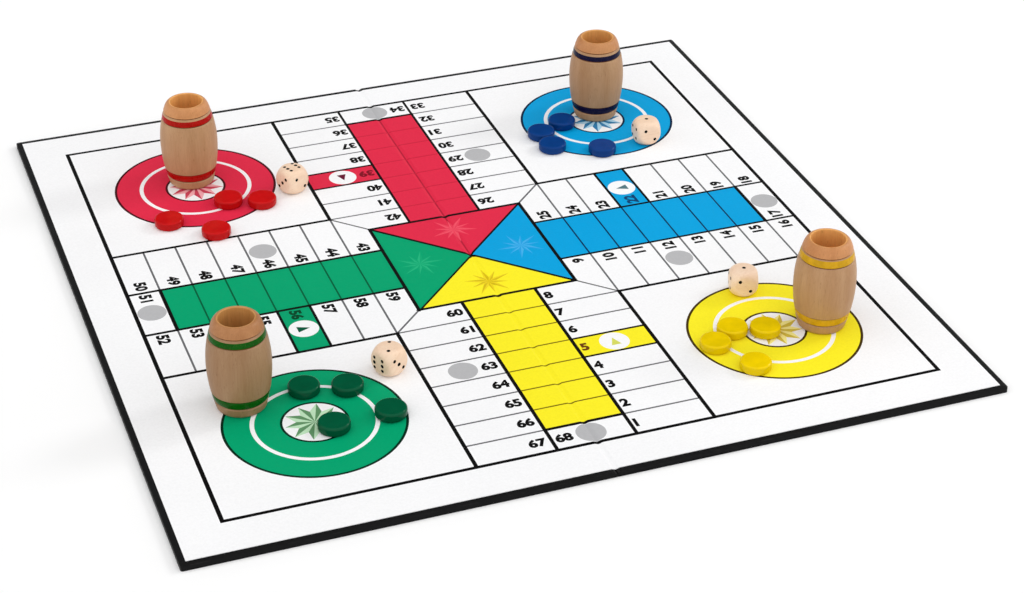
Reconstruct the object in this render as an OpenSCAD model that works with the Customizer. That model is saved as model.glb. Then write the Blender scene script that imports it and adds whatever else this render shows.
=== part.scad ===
// Folding ludo board with four shakers, four dice and sixteen counters.
// Units are mm, +Z up. The open board lies on z = 0, its middle at the origin.
// The fold runs along Y at x = 0. The left leaf (x < 0) stays still, the right leaf folds over it.
// Each player's pieces stand round the middle of that player's home, as they lie in the photograph.

/* [Board] */
// Side of the open square board
board_side = 400; // [300:5:520]
// Thickness of a leaf, from the table to the printed face
board_thick = 3; // [2.4:0.1:5]
// Radius of the four outer corners
corner_r = 1.2; // [0.8:0.1:4]
// Gap between the two leaves at the fold
fold_gap = 0.2; // [0.1:0.05:0.6]

/* [Covering] */
// Thickness of the black cover under a leaf and round its edges
cover_thick = 0.4; // [0.3:0.05:0.6]
// How far the cover turns in over the face, partly under the print
lip_width = 9; // [6:0.5:20]
// Black border that shows round the print
border_show = 3; // [1:0.25:5]
// Thickness of the printed sheet
print_thick = 0.3; // [0.2:0.05:0.5]

/* [Crease] */
// Half of the width of the rounded valley along the fold
crease_half = 2.3; // [0.8:0.1:3]
// Depth of the valley at the fold
crease_depth = 0.9; // [0.4:0.1:1.2]

/* [Printed grid] */
// White margin between the edge of the print and the frame of the track
print_margin = 21.3; // [10:0.1:35]

/* [Shaker] */
// Height of a shaker
cup_height = 48.5; // [40:0.5:62]
// Widest diameter of the barrel
cup_belly_d = 30.6; // [26:0.2:38]
// Height of the widest place
cup_belly_z = 25; // [18:0.5:30]
// Diameter that the barrel tends to at the top, before its lip is rounded
cup_neck_d = 21.4; // [21:0.2:26]
// Diameter that the barrel tends to at the table, before its edge is rounded
cup_base_d = 23; // [20:0.2:26]
// Rounding of the bottom edge
cup_base_round = 2; // [1:0.1:3]
// Diameter of the bore
bore_d = 16.8; // [14:0.1:19]
// Share of the wood above the high band that goes into the rounding of the lip
lip_share = 0.7; // [0.5:0.05:0.9]
// Small rounding of the lip on the side of the bore
lip_inner = 0.5; // [0.3:0.1:0.8]
// Thickness of the wood under the bore
cup_floor = 8; // [5:0.5:14]
// Rounding at the bottom of the bore
bore_round = 2.5; // [1:0.1:4]

/* [Shaker bands] */
// Height of the lower edge of the low band
band_low_z = 5.4; // [3.5:0.1:8]
// Drop from the lip to the upper edge of the high band
band_high_drop = 5.4; // [4:0.1:10]
// Width of each band between its two turned lines
band_width = 4.4; // [2:0.1:6]
// Width of a turned line
groove_width = 1.1; // [0.4:0.1:1.6]
// Depth of a turned line
groove_depth = 0.5; // [0.2:0.05:0.9]

/* [Die] */
// Distance between opposite faces
die_side = 14; // [12:0.2:18]
// Diameter of the ball that rounds off the edges and corners
die_ball_d = 17.5; // [16.8:0.1:24]
// Spacing of the pips from the middle of a face
pip_pitch = 2.8; // [2.2:0.1:3]
// Diameter of a pip at the face
pip_d = 2; // [1.2:0.1:2.4]
// Depth of a pip
pip_depth = 0.4; // [0.2:0.05:0.6]

/* [Counter] */
// Diameter of a counter
counter_d = 15.4; // [12:0.2:20]
// Height of a counter
counter_height = 4.8; // [3:0.1:8]
// Rounding of the upper and lower edges
counter_edge = 1.3; // [0.4:0.1:2.4]
// Least room between two counters that lie next to each other
counter_room = 0.6; // [0.4:0.1:2]

/* [Places of the green set] */
// Green counters from the middle of the home, in counter widths with their room
green_spots = [[0.12, 1.59], [1.36, 1.26], [2.18, -0.39], [0.43, -0.51]];
// Green shaker: the counter it stands beside, direction in degrees, free gap in counter widths
green_cup_by = [0, 180.8, 0.449];
// Green die: the counter it lies beside, direction, free gap, and its turn in degrees
green_die_by = [1, 20, 0.525, 24.6];

/* [Places of the yellow set] */
// Yellow counters from the middle of the home, in counter widths with their room
yellow_spots = [[-1.31, 0.26], [-0.34, -0.05], [-2.13, -0.31], [-1.46, -1.74]];
// Yellow shaker: the counter it stands beside, direction in degrees, free gap in counter widths
yellow_cup_by = [1, -2.6, 0.427];
// Yellow die: the counter it lies beside, direction, free gap, and its turn in degrees
yellow_die_by = [0, 57.6, 1.42, 165];

/* [Places of the blue set] */
// Blue counters from the middle of the home, in counter widths with their room
blue_spots = [[-1.34, -0.01], [-2.32, -0.54], [-2.28, -1.54], [-0.71, -2.3]];
// Blue shaker: the counter it stands beside, direction in degrees, free gap in counter widths
blue_cup_by = [0, 18.5, 0.125];
// Blue die: the counter it lies beside, direction, free gap, and its turn in degrees
blue_die_by = [3, 7.7, 0.73, 178];

/* [Places of the red set] */
// Red counters from the middle of the home, in counter widths with their room
red_spots = [[0.77, -1.49], [1.83, -1.88], [-1.41, -2.21], [-0.1, -3.33]];
// Red shaker: the counter it stands beside, direction in degrees, free gap in counter widths
red_cup_by = [0, 111.3, 0.696];
// Red die: the counter it lies beside, direction, free gap, and its turn in degrees
red_die_by = [1, 25.7, 0.325, -154];

/* [Show] */
// Which piece to draw, or all

/* [Hidden] */
$fn = 96;

// Thicknesses inside a leaf, from the table up
lip_top = board_thick - print_thick;
lip_under = lip_top - cover_thick;
half = board_side / 2;

// The game has 8 rows of cells in each arm, a centre 5 rows wide and homes 7 rows wide
arm_rows = 8;
centre_rows = 5;
home_rows = 7;
row_count = 2 * arm_rows + centre_rows;
row = (board_side - 2 * border_show - 2 * print_margin) / row_count;
home_mid = row * (row_count - home_rows) / 2;

green_home = [-home_mid, -home_mid];
yellow_home = [home_mid, -home_mid];
blue_home = [home_mid, home_mid];
red_home = [-home_mid, home_mid];

// Turn of a die from its modelled pose, by the face that lies up
one_up = [0, -90, 0];
two_up = [90, 0, 0];
six_up = [0, 90, 0];

// The valley along the fold: a half cosine from the fold to the flat face
crease_steps = 7;
crease_x = [for (i = [0 : crease_steps]) fold_gap / 2 + (crease_half - fold_gap / 2) * i / crease_steps];
function valley(x) = board_thick - crease_depth * (1 + cos(180 * x / crease_half)) / 2;
valley_top = [for (x = crease_x) [x, valley(x)]];
valley_under = [for (x = crease_x) [x, valley(x) - print_thick]];
function turned(list) = [for (i = [len(list) - 1 : -1 : 0]) list[i]];

// Outline of one leaf, drawn in by its own amount at the outer edges and at the fold
module leaf_plan(draw_in, at_fold) {
    x0 = fold_gap / 2 + at_fold;
    x1 = half - draw_in;
    y1 = half - draw_in;
    r = max(corner_r - draw_in, 0.3);
    translate([x0, -y1])
        square([x1 - x0 - r, 2 * y1]);
    translate([x0, r - y1])
        square([x1 - x0, 2 * (y1 - r)]);
    for (s = [-1, 1])
        translate([x1 - r, s * (y1 - r)])
            circle(r);
}

// A section in X and Z, drawn out along Y and centred on the board
module along_fold(length) {
    rotate([90, 0, 0])
        linear_extrude(length, center = true)
            children();
}

// What the valley takes off the board below the print
module crease_cut() {
    along_fold(board_side + 2)
        polygon(concat(
            [[-1, valley_under[0][1]]],
            valley_under,
            [[crease_half, board_thick + 1], [-1, board_thick + 1]]));
}

// Cardboard of one leaf, stepped down round its edge for the turned-in cover
module leaf_core() {
    difference() {
        union() {
            translate([0, 0, cover_thick])
                linear_extrude(lip_under - cover_thick)
                    leaf_plan(cover_thick, cover_thick);
            translate([0, 0, (cover_thick + lip_under) / 2])
                linear_extrude(lip_top - (cover_thick + lip_under) / 2)
                    leaf_plan(lip_width, cover_thick);
        }
        crease_cut();
    }
}

// Black cover of one leaf: floor, walls and a lip turned in over the face
module leaf_cover() {
    difference() {
        linear_extrude(lip_top)
            leaf_plan(0, 0);
        translate([0, 0, cover_thick])
            linear_extrude(lip_under - cover_thick)
                leaf_plan(cover_thick, cover_thick);
        translate([0, 0, (cover_thick + lip_under) / 2])
            linear_extrude(board_thick)
                leaf_plan(lip_width, cover_thick);
        crease_cut();
    }
}

// Printed sheet of one leaf, flat and then down into the valley
module leaf_print() {
    along_fold(board_side - 2 * border_show)
        polygon(concat(
            valley_top,
            [[half - border_show, board_thick], [half - border_show, lip_top]],
            turned(valley_under)));
}

// Outer radius of a shaker at height z
function barrel(z) =
    z < cup_belly_z
    ? (cup_belly_d - (cup_belly_d - cup_base_d) * pow((cup_belly_z - z) / cup_belly_z, 2)) / 2
    : (cup_belly_d - (cup_belly_d - cup_neck_d) * pow((z - cup_belly_z) / (cup_height - cup_belly_z), 2)) / 2;
function barrel_run(z0, z1, steps) = [for (i = [0 : steps]) let (z = z0 + (z1 - z0) * i / steps) [barrel(z), z]];
function groove(z) = [[barrel(z) - groove_depth, z]];
function arc(x, z, r, a0, a1, steps) =
    [for (i = [0 : steps]) let (a = a0 + (a1 - a0) * i / steps) [x + r * cos(a), z + r * sin(a)]];

band_low_top = band_low_z + band_width;
band_high_top = cup_height - band_high_drop;
band_high_z = band_high_top - band_width;
bore_r = bore_d / 2;
g = groove_width / 2;

// The lip: a curve that leaves the barrel along its slope and ends level at the top
lip_low = cup_height - lip_share * (band_high_drop - g);
lip_reach = (lip_low - cup_belly_z) / pow(cup_height - cup_belly_z, 2);
lip_outer = barrel(lip_low) - (cup_belly_d - cup_neck_d) * lip_reach * (cup_height - lip_low);
lip_inside = bore_r + lip_inner;
function lip_at(t) =
    pow(1 - t, 2) * [barrel(lip_low), lip_low]
    + 2 * t * (1 - t) * [lip_outer, cup_height]
    + pow(t, 2) * [lip_inside, cup_height];

cup_section = concat(
    [[0, 0]],
    arc(barrel(cup_base_round) - cup_base_round, cup_base_round, cup_base_round, -90, 0, 5),
    [[barrel(band_low_z - g), band_low_z - g]],
    groove(band_low_z),
    barrel_run(band_low_z + g, band_low_top - g, 2),
    groove(band_low_top),
    barrel_run(band_low_top + g, band_high_z - g, 12),
    groove(band_high_z),
    barrel_run(band_high_z + g, band_high_top - g, 2),
    groove(band_high_top),
    [[barrel(band_high_top + g), band_high_top + g]],
    [for (i = [0 : 8]) lip_at(i / 8)],
    arc(lip_inside, cup_height - lip_inner, lip_inner, 110, 180, 4),
    arc(bore_r - bore_round, cup_floor + bore_round, bore_round, 0, -90, 4),
    [[0, cup_floor]]);

// Turned wooden shaker, a barrel with a blind bore and a round lip
module shaker() {
    rotate_extrude()
        polygon(cup_section);
}

// Pips of one face, each at [across, up] in steps of the pitch
module pips(places) {
    ball = (pow(pip_d / 2, 2) + pow(pip_depth, 2)) / (2 * pip_depth);
    for (p = places)
        translate([p[0] * pip_pitch, p[1] * pip_pitch, die_side / 2 + ball - pip_depth])
            sphere(ball, $fn = 24);
}

// Die with 1 on +X, 2 on +Y and 3 on +Z, opposite faces adding up to seven
module die() {
    difference() {
        intersection() {
            cube(die_side, center = true);
            sphere(d = die_ball_d);
        }
        rotate([0, 90, 0])
            pips([[0, 0]]);
        rotate([-90, 0, 0])
            pips([[-1, -1], [1, 1]]);
        pips([[-1, 1], [0, 0], [1, -1]]);
        rotate([180, 0, 0])
            pips([[-1, -1], [-1, 1], [1, -1], [1, 1]]);
        rotate([90, 0, 0])
            pips([[-1, -1], [-1, 1], [0, 0], [1, -1], [1, 1]]);
        rotate([0, -90, 0])
            pips([[-1, -1], [-1, 0], [-1, 1], [1, -1], [1, 0], [1, 1]]);
    }
}

edge_r = min(counter_edge, counter_height / 2 - 0.1);
counter_section = concat(
    [[0, 0]],
    arc(counter_d / 2 - edge_r, edge_r, edge_r, -90, 0, 5),
    arc(counter_d / 2 - edge_r, counter_height - edge_r, edge_r, 0, 90, 5),
    [[0, counter_height]]);

// Flat counter with rounded edges
module counter() {
    rotate_extrude()
        polygon(counter_section);
}

// Place of counter i of a set, and a place beside it for something of radius r
function spot(home, spots, i) = home + spots[i] * (counter_d + counter_room);
function beside(home, spots, by, r) =
    spot(home, spots, by[0])
    + (counter_d / 2 + by[2] * (counter_d + counter_room) + r) * [cos(by[1]), sin(by[1])];

module on_board(at) {
    translate([at[0], at[1], board_thick])
        children();
}

module set_counter(home, spots, i) {
    on_board(spot(home, spots, i))
        counter();
}

module set_cup(home, spots, by) {
    on_board(beside(home, spots, by, cup_belly_d / 2))
        shaker();
}

module set_die(home, spots, by, face_up) {
    on_board(beside(home, spots, by, die_ball_d / 2))
        translate([0, 0, die_side / 2])
            rotate([0, 0, by[3]])
                rotate(face_up)
                    die();
}

module left_core() { color("tan") mirror([1, 0, 0]) leaf_core(); }
module left_cover() { color([0.08, 0.08, 0.09]) mirror([1, 0, 0]) leaf_cover(); }
module left_print() { color("white") mirror([1, 0, 0]) leaf_print(); }
module right_core() { color("tan") leaf_core(); }
module right_cover() { color([0.12, 0.12, 0.13]) leaf_cover(); }
module right_print() { color([0.96, 0.96, 0.94]) leaf_print(); }

module green_cup() { color("burlywood") set_cup(green_home, green_spots, green_cup_by); }
module yellow_cup() { color("burlywood") set_cup(yellow_home, yellow_spots, yellow_cup_by); }
module blue_cup() { color("burlywood") set_cup(blue_home, blue_spots, blue_cup_by); }
module red_cup() { color("burlywood") set_cup(red_home, red_spots, red_cup_by); }

module green_die() { color("bisque") set_die(green_home, green_spots, green_die_by, two_up); }
module yellow_die() { color("bisque") set_die(yellow_home, yellow_spots, yellow_die_by, one_up); }
module blue_die() { color("bisque") set_die(blue_home, blue_spots, blue_die_by, one_up); }
module red_die() { color("bisque") set_die(red_home, red_spots, red_die_by, six_up); }

module green_counter(i) { color("darkgreen") set_counter(green_home, green_spots, i); }
module yellow_counter(i) { color("goldenrod") set_counter(yellow_home, yellow_spots, i); }
module blue_counter(i) { color("navy") set_counter(blue_home, blue_spots, i); }
module red_counter(i) { color("firebrick") set_counter(red_home, red_spots, i); }

left_core();
left_cover();
left_print();
right_core();
right_cover();
right_print();
green_cup();
yellow_cup();
blue_cup();
red_cup();
green_die();
yellow_die();
blue_die();
red_die();
green_counter(0);  // green_counter_1
green_counter(1);  // green_counter_2
green_counter(2);  // green_counter_3
green_counter(3);  // green_counter_4
yellow_counter(0);  // yellow_counter_1
yellow_counter(1);  // yellow_counter_2
yellow_counter(2);  // yellow_counter_3
yellow_counter(3);  // yellow_counter_4
blue_counter(0);  // blue_counter_1
blue_counter(1);  // blue_counter_2
blue_counter(2);  // blue_counter_3
blue_counter(3);  // blue_counter_4
red_counter(0);  // red_counter_1
red_counter(1);  // red_counter_2
red_counter(2);  // red_counter_3
red_counter(3);  // red_counter_4
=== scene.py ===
import math
import bmesh
import bpy
import numpy as np
from mathutils import Matrix, Vector
from mathutils.geometry import delaunay_2d_cdt


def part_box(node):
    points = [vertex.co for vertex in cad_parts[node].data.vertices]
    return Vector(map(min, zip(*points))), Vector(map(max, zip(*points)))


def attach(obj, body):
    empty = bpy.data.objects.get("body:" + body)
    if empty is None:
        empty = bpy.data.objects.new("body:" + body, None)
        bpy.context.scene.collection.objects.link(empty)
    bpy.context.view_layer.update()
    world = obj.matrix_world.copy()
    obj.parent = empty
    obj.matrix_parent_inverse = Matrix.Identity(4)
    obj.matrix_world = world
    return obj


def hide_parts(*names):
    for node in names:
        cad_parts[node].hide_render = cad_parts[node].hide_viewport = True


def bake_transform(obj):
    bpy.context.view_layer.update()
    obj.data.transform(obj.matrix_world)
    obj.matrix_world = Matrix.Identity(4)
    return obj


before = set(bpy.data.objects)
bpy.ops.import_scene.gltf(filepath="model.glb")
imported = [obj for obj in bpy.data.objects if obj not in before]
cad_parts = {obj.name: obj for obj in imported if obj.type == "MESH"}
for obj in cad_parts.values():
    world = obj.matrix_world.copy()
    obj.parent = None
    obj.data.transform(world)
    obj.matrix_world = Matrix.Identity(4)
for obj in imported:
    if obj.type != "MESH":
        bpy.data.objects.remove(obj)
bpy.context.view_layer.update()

scene = bpy.context.scene
mm = 0.001
players = ["yellow", "blue", "red", "green"]   # anticlockwise, from the front arm of the board


# small helpers

def rgb(red, green, blue):
    # screen colour, 0 to 255, to the linear colour that shaders take
    def linear(c):
        c = c / 255
        return c / 12.92 if c < 0.04045 else ((c + 0.055) / 1.055) ** 2.4
    return (linear(red), linear(green), linear(blue), 1.0)


def shade(colour, amount):
    return tuple(min(1.0, c * amount) for c in colour[:3]) + (1.0,)


def feed(tree, node, values):
    # values for a node's inputs: another node's output is linked, anything else is set
    for key, value in values.items():
        if isinstance(value, bpy.types.NodeSocket):
            tree.links.new(value, node.inputs[key])
        else:
            node.inputs[key].default_value = value


def add(tree, kind, values=None, **settings):
    # a node with its own settings and with values for its inputs
    node = tree.nodes.new(kind)
    for key, value in settings.items():
        setattr(node, key, value)
    feed(tree, node, values or {})
    return node


def put(tree, kind, values=None, **settings):
    # the same, for a node whose first output is all that is needed
    return add(tree, kind, values, **settings).outputs[0]


def newMaterial(name, colour, roughness, specular=0.5):
    material = bpy.data.materials.new(name)
    material.use_nodes = True
    material.diffuse_color = colour
    tree = material.node_tree
    shader = tree.nodes["Principled BSDF"]
    feed(tree, shader, {"Base Color": colour, "Roughness": roughness, "Specular IOR Level": specular})
    return material, tree, shader


def placeOn(tree, centre=(0, 0, 0), turn=(0, 0, 0), stretch=(1, 1, 1)):
    # object coordinates, centred and turned on the piece
    where = add(tree, "ShaderNodeTexCoord").outputs["Object"]
    middle = put(tree, "ShaderNodeMapping", {"Vector": where, "Location": [-c for c in centre]})
    return put(tree, "ShaderNodeMapping", {"Vector": middle, "Rotation": turn, "Scale": stretch})


def noise(tree, vector, scale, detail=3.0, roughness=0.5):
    values = {"Vector": vector, "Scale": scale, "Detail": detail, "Roughness": roughness}
    return add(tree, "ShaderNodeTexNoise", values).outputs["Fac"]


def ramp(tree, fac, stops):
    # from the first stop's colour, or grey, to the second's
    node = add(tree, "ShaderNodeValToRGB", {"Fac": fac})
    for element, (place, colour) in zip(node.color_ramp.elements, stops):
        element.position = place
        element.color = colour if isinstance(colour, tuple) else (colour, colour, colour, 1)
    return node.outputs["Color"]


def spread(tree, value, low, high, fromLow=0.3, fromHigh=0.7):
    return put(tree, "ShaderNodeMapRange", {
        "Value": value, "From Min": fromLow, "From Max": fromHigh, "To Min": low, "To Max": high})


def blendColours(tree, fac, first, second, kind="MIX"):
    # inputs 6 and 7 of this node are its two colours
    node = add(tree, "ShaderNodeMix", {0: fac, 6: first, 7: second}, data_type="RGBA", blend_type=kind,
               clamp_factor=True)
    return [s for s in node.outputs if s.type == "RGBA"][0]


def calc(tree, kind, first, second=0.0):
    return put(tree, "ShaderNodeMath", {0: first, 1: second}, operation=kind)


def axes(tree, vector):
    return add(tree, "ShaderNodeSeparateXYZ", {0: vector}).outputs


def radiusOf(tree, vector):
    # distance from the upright axis
    flat = put(tree, "ShaderNodeVectorMath", {0: vector, 1: (1, 1, 0)}, operation="MULTIPLY")
    return add(tree, "ShaderNodeVectorMath", {0: flat}, operation="LENGTH").outputs["Value"]


def bump(tree, shader, height, distance, strength=1.0, below=None):
    node = add(tree, "ShaderNodeBump", {"Height": height, "Strength": strength, "Distance": distance})
    if below is not None:
        feed(tree, node, {"Normal": below})
    feed(tree, shader, {"Normal": node.outputs["Normal"]})
    return node.outputs["Normal"]


def newObject(name, data):
    item = bpy.data.objects.new(name, data)
    scene.collection.objects.link(item)
    return item


def newMesh(name, points=(), faces=()):
    mesh = bpy.data.meshes.new(name)
    mesh.from_pydata(points, [], faces)
    return mesh


def meshOf(shape, name):
    mesh = bpy.data.meshes.new(name)
    shape.to_mesh(mesh)
    shape.free()
    return mesh


def newPiece(name, mesh, body, nodes=()):
    piece = newObject(name, mesh)
    if body:
        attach(piece, body)
    if nodes:
        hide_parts(*nodes)
    return piece


def softEdges(mesh, degrees):
    for face in mesh.polygons:
        face.use_smooth = True
    mesh.set_sharp_from_angle(angle=math.radians(degrees))


def bakedMesh(piece, name):
    # the evaluated piece as a plain mesh; the piece itself goes
    graph = bpy.context.evaluated_depsgraph_get()
    mesh = bpy.data.meshes.new_from_object(piece.evaluated_get(graph), preserve_all_data_layers=True, depsgraph=graph)
    mesh.name = name
    bpy.data.objects.remove(piece)
    return mesh


def mergedCopy(node):
    # a CAD mesh comes as loose triangles, so its copy is merged first
    shape = bmesh.new()
    shape.from_mesh(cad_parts[node].data)
    bmesh.ops.remove_doubles(shape, verts=shape.verts, dist=1e-6)
    return shape


# geometry node helpers

def newTree(name, sockets):
    # an input for each value: a whole number, a number or, where it is None, a material
    kinds = {int: "NodeSocketInt", float: "NodeSocketFloat", type(None): "NodeSocketMaterial"}
    tree = bpy.data.node_groups.new(name, "GeometryNodeTree")
    tree.is_modifier = True
    for way in ("INPUT", "OUTPUT"):
        tree.interface.new_socket(name="Geometry", in_out=way, socket_type="NodeSocketGeometry")
    for label, value in sockets.items():
        socket = tree.interface.new_socket(name=label, in_out="INPUT", socket_type=kinds[type(value)])
        if value is not None:
            socket.default_value = value
    return tree, tree.nodes.new("NodeGroupInput").outputs, tree.nodes.new("NodeGroupOutput")


def coated(tree, geometry, material, where=True):
    return put(tree, "GeometryNodeSetMaterial", {"Geometry": geometry, "Material": material, "Selection": where})


def runTree(tree, mesh, values, name):
    # puts the tree on a mesh, sets its named inputs and returns the finished mesh
    holder = newObject(name, mesh)
    modifier = holder.modifiers.new(tree.name, "NODES")
    modifier.node_group = tree
    for item in tree.interface.items_tree:
        if item.in_out == "INPUT" and item.name in values:
            modifier[item.identifier] = values[item.name]
    return bakedMesh(holder, name)


# camera, floor and light

view = {
    "place": (-334.92, -963.93, 617.98),       # mm, in the board's frame
    "right": (0.93881, -0.34438, 0.00615),
    "up": (0.17821, 0.50093, 0.84694),
    "forward": (0.29475, 0.79402, -0.53166),
    "lens": 80.98,
}


def makeCamera():
    data = bpy.data.cameras.new("camera")
    data.lens, data.sensor_width, data.clip_end = view["lens"], 36, 20
    camera = newObject("camera", data)
    right, up, forward = (Vector(view[k]).normalized() for k in ("right", "up", "forward"))
    turn = Matrix((right, up, -forward)).transposed()
    camera.matrix_world = Matrix.Translation(Vector(view["place"]) * mm) @ turn.to_4x4()
    scene.camera = camera


studio = {
    "floorSize": 8.0, "floor": rgb(236, 236, 237),
    "tent": 1.14, "gap": 0.05,                               # light tent, and the dim gap behind the board
    "wallFrom": 0.2, "wallTo": 0.34,                         # height where the pale wall ends
    "roofFrom": 0.62, "roofTo": 0.9,                         # and where the roof begins
    "front": (-0.35, -0.94, 0), "frontFrom": -0.6, "frontTo": -0.1,   # the gap lies only on the side away from this
    "keyPlace": (2.3, 0.2, 1.4), "keySize": 0.7, "keyPower": 14.0,
    "aim": (0, 0, 0.01),
}


def makeLamp(name, place, size, power):
    data = bpy.data.lights.new(name, "AREA")
    data.shape, data.size, data.energy = "DISK", size, power
    away = (Vector(place) - Vector(studio["aim"])).normalized()
    turn = away.to_track_quat("Z", "Y").to_matrix().to_4x4()
    newObject(name, data).matrix_world = Matrix.Translation(place) @ turn


def makeStudio():
    world = bpy.data.worlds.new("studio")
    world.use_nodes = True
    tree = world.node_tree
    where = add(tree, "ShaderNodeTexCoord").outputs["Generated"]
    ahead = add(tree, "ShaderNodeVectorMath", {0: where, 1: studio["front"]}, operation="DOT_PRODUCT")
    up = axes(tree, where)["Z"]
    wall = spread(tree, up, 1, 0, studio["wallFrom"], studio["wallTo"])
    roof = spread(tree, up, 0, 1, studio["roofFrom"], studio["roofTo"])
    front = spread(tree, ahead.outputs["Value"], 0, 1, studio["frontFrom"], studio["frontTo"])
    lit = calc(tree, "MAXIMUM", wall, calc(tree, "MAXIMUM", roof, front))
    strength = spread(tree, lit, studio["gap"], studio["tent"], 0, 1)
    feed(tree, tree.nodes["Background"], {"Color": (1, 1, 1, 1), "Strength": strength})
    scene.world = world

    makeLamp("key", studio["keyPlace"], studio["keySize"], studio["keyPower"])

    # white table: seen as pure white with its shadows, it throws back the light of a pale grey one
    half = studio["floorSize"] / 2
    mesh = newMesh("floor", [(-half, -half, 0), (half, -half, 0), (half, half, 0), (-half, half, 0)], [(0, 1, 2, 3)])
    material, tree, shader = newMaterial("floorWhite", studio["floor"], 1.0, 0.0)
    rays = add(tree, "ShaderNodeLightPath").outputs
    seen = calc(tree, "MAXIMUM", rays["Is Camera Ray"], calc(
        tree, "MAXIMUM", rays["Is Glossy Ray"], rays["Is Transmission Ray"]))
    feed(tree, shader, {"Base Color": blendColours(tree, seen, studio["floor"], (1.0, 1.0, 1.0, 1.0))})
    mesh.materials.append(material)
    floor = newObject("floor", mesh)


scene.view_settings.view_transform = "Standard"
makeCamera()
makeStudio()
print("stage: camera, floor and lamps")


# printed sheet

board = {
    "creaseHalf": 2.3, "creaseDepth": 0.6, "creaseSteps": 10,   # valley along the fold, mm
    "creaseMark": 0.6,                                          # half width of the painted shade line in its bottom
    "sheetThick": 0.3,
    "margin": 21.3,                                             # white edge to the frame line
    "armRows": 8, "centreRows": 5, "homeRows": 7, "startRow": 3,
    "cells": 68, "armCells": 17,                                # numbered cells in all, and those of one arm
    "frameLine": 2.05, "homeLine": 1.95, "squareLine": 1.9, "startLine": 1.45,   # widths of the lines
    "thinLine": 1.05, "tintLine": 0.9,
    "laneLine": {"green": 1.85, "yellow": 1.85, "blue": 1.6, "red": 1.45},
    "diagonalLine": {"green": 1.6, "yellow": 2.3, "blue": 1.6, "red": 1.2},
    "dotRadius": 7.2, "startRadius": 7.5,
    "arrow": 3.2, "arrowWide": 0.8,                             # half its height, and half its width as a share of that
    "digitHeight": 6.5, "digitPair": 8.5, "digitBold": 0.052,
    "digitGap": 1.9, "digitEnd": 0.4,                           # room beside the lane, and more of it at a right end
    "homeRadius": 43.4, "homeEdge": 1.3, "ringOuter": 30.1, "ringInner": 28.0,
    "middleRadius": 16.2, "middleEdge": 1.2,
}
stars = {   # compass stars: points (an even number), reach in mm, and the short points and the waist as shares of it
    "home": {"points": 10, "radius": 14.8, "short": 0.96, "waist": 0.6},
    "centre": {"points": 10, "radius": 12.8, "short": 0.8, "waist": 0.34},
}
starPlace = 0.66     # how far out the stars of the centre stand, as a share of its half width

inks = {"paper": rgb(249, 249, 250), "black": rgb(8, 7, 8), "thin": rgb(104, 104, 107), "dot": rgb(184, 184, 186)}
tints = {   # the players' own inks
    "": {"yellow": rgb(252, 238, 40), "blue": rgb(6, 162, 222), "red": rgb(226, 44, 74), "green": rgb(0, 162, 110)},
    # separators of the lane, number of the start cell and its arrow
    "Line": {"yellow": rgb(118, 100, 14), "blue": rgb(6, 42, 84), "red": rgb(206, 36, 62), "green": rgb(0, 92, 58)},
    "Start": {"yellow": rgb(110, 62, 16), "blue": rgb(12, 62, 110), "red": rgb(128, 14, 34), "green": rgb(0, 70, 40)},
    "Arrow": {"yellow": rgb(214, 218, 96), "blue": rgb(84, 120, 128), "red": rgb(104, 20, 50), "green": rgb(6, 88, 60)},
    # the two tones of the centre's star
    "Light": {"yellow": rgb(240, 214, 36), "blue": rgb(70, 178, 234), "red": rgb(240, 84, 104),
              "green": rgb(34, 180, 126)},
    "Deep": {"yellow": rgb(216, 186, 22), "blue": rgb(38, 160, 226), "red": rgb(234, 66, 90), "green": rgb(14, 168, 114)},
    # rims of the home, and the two tones of its star
    "Edge": {"yellow": rgb(70, 52, 10), "blue": rgb(8, 34, 66), "red": rgb(70, 12, 22), "green": rgb(0, 44, 28)},
    "Half": {"yellow": rgb(250, 240, 150), "blue": rgb(176, 218, 240), "red": rgb(246, 178, 184),
             "green": rgb(196, 232, 196)},
    "Point": {"yellow": rgb(214, 190, 70), "blue": rgb(52, 128, 178), "red": rgb(206, 70, 92),
              "green": rgb(100, 150, 104)},
}
for use, colours in tints.items():
    inks.update({player + use: colour for player, colour in colours.items()})
wearAndCreaseShade = {"red": 0.5, "dot": 0.96}     # painted shade along the fold: these inks are darkened to this share in the bottom of the crease
press = {"mottle": 14.0, "specks": 900.0, "tooth": 1600.0, "darkest": 0.965, "palest": 1.03}     # grain of the print

sheetLow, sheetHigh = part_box("left_print")
sheetHalf = -sheetLow.x / mm
sheetTop = sheetHigh.z / mm
gridHalf = sheetHalf - board["margin"]
row = 2 * gridHalf / (2 * board["armRows"] + board["centreRows"])
armHalf = board["homeRows"] * row / 2
laneHalf = board["homeRows"] * row / 6
centreHalf = board["centreRows"] * row / 2
homeMiddle = gridHalf - board["homeRows"] * row / 2


def valley(x):
    # height of the printed face, with the pressed crease along the fold
    share = min(1.0, abs(x) / board["creaseHalf"])
    return sheetTop - board["creaseDepth"] * (1 + math.cos(math.pi * share)) / 2


def turned(points, quarter):
    # quarter turns round the middle of the board
    c, s = [(1, 0), (0, 1), (-1, 0), (0, -1)][quarter % 4]
    return [(c * x - s * y, s * x + c * y) for x, y in points]


def moved(points, dx, dy):
    return [(x + dx, y + dy) for x, y in points]


def bar(x0, y0, x1, y1, width):
    # a printed line as a thin rectangle, its ends squared off half a width beyond
    along = Vector((x1 - x0, y1 - y0)).normalized() * (width / 2)
    side = Vector((-along.y, along.x))
    a, b = Vector((x0, y0)) - along, Vector((x1, y1)) + along
    return [tuple(a - side), tuple(b - side), tuple(b + side), tuple(a + side)]


def disc(x, y, radius, steps=72):
    return [(x + radius * math.cos(2 * math.pi * i / steps), y + radius * math.sin(2 * math.pi * i / steps))
            for i in range(steps)]


def rectangle(x0, y0, x1, y1):
    return [(x0, y0), (x1, y0), (x1, y1), (x0, y1)]


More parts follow.
